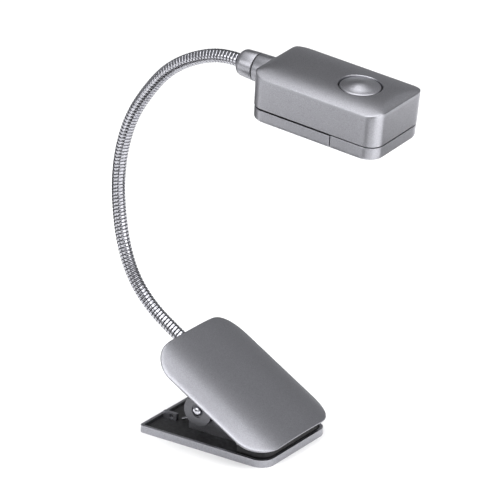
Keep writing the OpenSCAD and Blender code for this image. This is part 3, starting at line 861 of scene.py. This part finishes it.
def make_neck_piece(k, samples, s):
    """One stretch of the wound tube from a distance s along the neck. Returns the piece and the
    distance at its end."""
    sides = 40
    turn = [2 * math.pi * j / sides for j in range(sides)]
    side = Vector((0, 1, 0))

    def ring(point, direction, radius):
        normal = side.cross(direction)
        return [point + radius(a) * (math.cos(a) * normal + math.sin(a) * side) for a in turn]

    rings, dark = [], []
    last = samples[0][0]
    for point, direction in samples:
        s += (point - last).length
        last = point
        rings.append(ring(point, direction, lambda a: winding(s, a)))
        dark += [off_ridge(s, a) > GROOVE_START for a in turn]
    for point, direction in (samples[-1], samples[len(samples) // 2], samples[0]):
        rings.append(ring(point, direction, lambda a: NECK_BORE_R))
    piece = make(f"neck_winding_{k + 1}", *loft(rings, closed=True), ROW, CHROME)
    # The faces deep in the grooves take the dark metal, as painted shade
    piece.data.materials.append(GROOVE_SHADE)
    for i in range(len(dark) - sides):
        piece.data.polygons[i].material_index = int(dark[i])
    return piece, s


def make_neck():
    """The neck in one stretch for each bend, in place of the CAD links that it covers."""
    nodes = ["neck_root"] + [f"neck_link_{i}" for i in range(1, NECK_BENDS)] + ["neck_tip"]
    half = NECK_PITCH / 2
    s = 0.0
    for k in range(NECK_BENDS):
        samples = bend_curve(k)
        start, end = samples[0][0].copy(), samples[-1][0].copy()
        if k == 0:
            heading = along(180 - LEVER_TILT)
            root = straight(start - heading * NECK_IN_SOCKET, heading, NECK_IN_SOCKET)
            samples = root[:-1] + samples
        if k == NECK_BENDS - 1:
            heading = along(HEADINGS[-1])
            tail = TIP_TO_MOUTH + TIP_DEPTH - half
            samples = samples + straight(samples[-1][0], heading, tail)[1:]
        piece, s = make_neck_piece(k, samples, s)
        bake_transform(piece)
        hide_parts(*([nodes[0], nodes[1]] if k == 0 else [nodes[k + 1]]))


# ---- Pin and spring ----

def make_pin():
    """Hinge pin with a domed head at each end."""
    profile = [(PIN_R, -PIN_REACH + 0.35), (PIN_R, PIN_REACH - 0.35)]
    for r, rise in ((1.9, 0), (1.65, 0.28), (1.2, 0.5), (0.6, 0.6)):
        profile.append((r, PIN_REACH + rise))
    ends = [(r, -h) for r, h in reversed(profile[2:])]
    rings = turned(ends + profile, sides=48)
    turned_y = Matrix.Rotation(math.radians(-90), 4, "X")
    return make("pin", *loft(rings), at(PIN) @ turned_y, STEEL)


def make_spring():
    """Torsion spring: seven turns round the pin, a leg on the tray and a leg under the lever."""
    wire_r, coil_r, turns, start_angle = 0.65, 3.9, 7.26, -68
    sides, steps, leg_steps = 14, int(turns * 36), 8
    coil = []
    for i in range(steps + 1):
        a = math.radians(start_angle + turns * 360 * i / steps)
        along_pin = SPRING_HALF * (2 * i / steps - 1)
        coil.append(PIN + Vector((coil_r * math.cos(a), along_pin, coil_r * math.sin(a))))
    upper = LEVER_ORIGIN + turn_y(LEVER_TILT).to_3x3() @ UPPER_LEG_END
    path = [LOWER_LEG_END.lerp(coil[0], t / leg_steps) for t in range(leg_steps)] + coil
    path += [coil[-1].lerp(upper, t / leg_steps) for t in range(1, leg_steps + 1)]
    rings = []
    for i, point in enumerate(path):
        tangent = (path[min(i + 1, len(path) - 1)] - path[max(i - 1, 0)]).normalized()
        side = tangent.cross(Vector((0, 1, 0))).normalized()
        other = tangent.cross(side)
        stations = [(1, 0)]
        if i == 0:
            stations = [(0.6, -0.3), (1, 0)]
        if i == len(path) - 1:
            stations = [(1, 0), (0.6, 0.3)]
        for scale, shift in stations:
            ring = []
            for k in range(sides):
                a = 2 * math.pi * k / sides
                spread = wire_r * scale * (math.cos(a) * side + math.sin(a) * other)
                ring.append(point + tangent * shift + spread)
            rings.append(ring)
    return make("spring_coil", *loft(rings), ROW, SPRING)


# ---- Materials of the CAD nodes ----

NODE_FINISH = {
    "base_tray": SILVER, "lower_grip_pad": RUBBER, "hinge_pin": STEEL, "torsion_spring": SPRING,
    "lever_cover": SILVER, "lever_frame": DARK, "upper_grip_pad": RUBBER, "cover_screws": STEEL,
    "neck_clamp_screw": BLACK, "swivel_ferrule": SILVER, "swivel_washer": BLACK,
    "swivel_clip": SPRING, "head_shell": SILVER, "front_shell": SILVER, "battery_door": SILVER,
    "light_window": WINDOW, "reflector": MIRROR, "light_emitter": RESIN, "circuit_board": BOARD,
    "board_screws": STEEL, "tact_switch": BLACK, "switch_plunger": CREAM, "power_button": SILVER,
    "coin_cells": CELL, "cell_holder": BLACK, "contact_minus": BRASS, "contact_plus": BRASS,
    "shell_screws": STEEL,
}


def finish_cad_nodes():
    """Gives each CAD node its material. Those that NODE_FINISH doesn't name are the neck's."""
    for name, node in frame["nodes"].items():
        material = NODE_FINISH.get(name, CHROME)
        node.data.materials.clear()
        node.data.materials.append(material)


# ---- The lamp ----

make_camera()
make_stage()
finish_cad_nodes()
for name in ("base_tray", "lever_frame"):
    soften(frame["nodes"][name], 0.25)
for name in ("lower_grip_pad", "upper_grip_pad"):
    soften(frame["nodes"][name], 0.35)

shell = combine(make_head_shell(), make_collar(), "UNION")
fit(shell, "head", "silver_shell", "head_shell")
fit(make_ferrule(), "ferrule", "silver_shell", "swivel_ferrule")
fit(make_button(), "button", "silver_shell", "power_button")
fit(make_battery_door(), "door", "silver_shell", "battery_door")
fit(make_front_shell(), "head", "silver_shell", "front_shell")
fit(make_light_window(), "head", "clear_window", "light_window")
fit(make_reflector(), "head", "reflector_chrome", "reflector")
screws = make_screws(
    "cover_fixings", SHELL_SCREWS, HEAD,
    z=0.5, head_r=1.9, head_h=1.08, shank_r=0.78, length=10)
fit(screws, "head", "bright_steel", "shell_screws")
screws = make_screws(
    "board_fixings", BOARD_SCREWS, HEAD,
    z=BOARD_Z - 0.8, head_r=1.6, head_h=0.78, shank_r=0.68, length=5.1)
fit(screws, "head", "bright_steel", "board_screws")
screws = make_screws(
    "lever_fixings", COVER_SCREWS, LEVER,
    z=-1.5, head_r=1.9, head_h=0.88, shank_r=0.78, length=3.3)
fit(screws, "lever", "bright_steel", "cover_screws")
fit(make_lever_cover(), "lever", "silver_shell", "lever_cover")
fit(make_pin(), "base", "bright_steel", "hinge_pin")
make_neck()
spring = make_spring()
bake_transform(spring)
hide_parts("torsion_spring")
